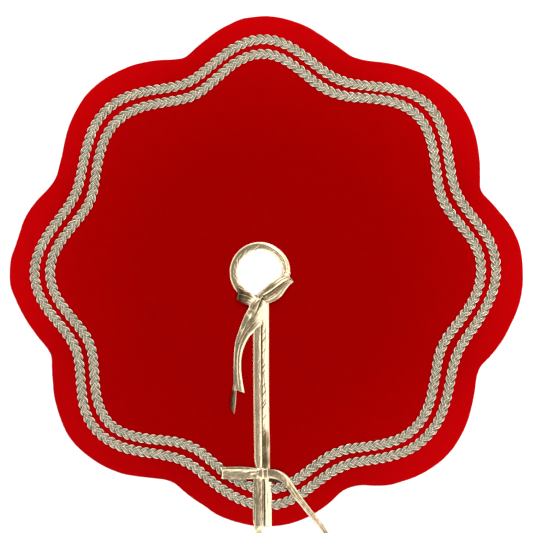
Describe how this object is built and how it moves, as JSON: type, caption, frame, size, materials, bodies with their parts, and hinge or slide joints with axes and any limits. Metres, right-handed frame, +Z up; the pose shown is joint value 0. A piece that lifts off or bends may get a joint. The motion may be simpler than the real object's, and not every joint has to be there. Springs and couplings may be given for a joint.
{
  "type": "tree skirt",
  "caption": "Round scalloped velvet tree skirt with parallel rows of metallic braid near the hem, a bound trunk opening, a bound slit, and ribbon ties at neck and hem.",
  "frame": {"origin": "centre of the trunk opening, at floor level under the lining", "axes": "+Z up from the floor, -Y from the trunk opening towards the slit and its ties, +X to the right seen from above with the slit towards the viewer"},
  "size_m": [1.2188, 1.2915, 0.015],
  "materials": {
    "velvet": "deep red cut-pile velvet",
    "lining": "matt red woven lining",
    "interlining": "off-white non-woven interlining",
    "braid": "metallic champagne gimp braid",
    "ribbon": "metallic champagne satin ribbon"
  },
  "bodies": {
    "back_right": {"velvet_back_right": "velvet", "interlining_back_right": "interlining", "lining_back_right": "lining", "outer_braid_back_right": "braid", "inner_braid_back_right": "braid", "neck_binding_back_right": "ribbon"},
    "back_left": {"velvet_back_left": "velvet", "interlining_back_left": "interlining", "lining_back_left": "lining", "outer_braid_back_left": "braid", "inner_braid_back_left": "braid", "neck_binding_back_left": "ribbon"},
    "front_left": {"velvet_front_left": "velvet", "interlining_front_left": "interlining", "lining_front_left": "lining", "outer_braid_front_left": "braid", "inner_braid_front_left": "braid", "neck_binding_front_left": "ribbon", "slit_binding_left": "ribbon", "neck_loop_left": "ribbon", "neck_knot_left": "ribbon", "neck_tail_rear": "ribbon", "neck_tail_front": "ribbon", "hem_loop_left": "ribbon", "hem_knot_left": "ribbon", "hem_tail_down": "ribbon"},
    "front_right": {"velvet_front_right": "velvet", "interlining_front_right": "interlining", "lining_front_right": "lining", "outer_braid_front_right": "braid", "inner_braid_front_right": "braid", "neck_binding_front_right": "ribbon", "slit_binding_right": "ribbon", "neck_loop_right": "ribbon", "neck_knot_right": "ribbon", "neck_tail_root": "ribbon", "hem_knot_right": "ribbon", "hem_tail_right": "ribbon"}
  },
  "joints": [
    {"name": "half_fold", "type": "hinge", "parent": "back_right", "child": "back_left", "pos_m": [0.003, 0.3, 0.027], "axis": [0, 1, 0], "range_deg": [0, 179.9]},
    {"name": "front_left_fold", "type": "hinge", "parent": "back_left", "child": "front_left", "pos_m": [-0.3, 0, 0.0125], "axis": [-1, 0, 0], "range_deg": [0, 179.9]},
    {"name": "front_right_fold", "type": "hinge", "parent": "back_right", "child": "front_right", "pos_m": [0.3, 0, 0.0125], "axis": [-1, 0, 0], "range_deg": [0, 179.9]}
  ]
}
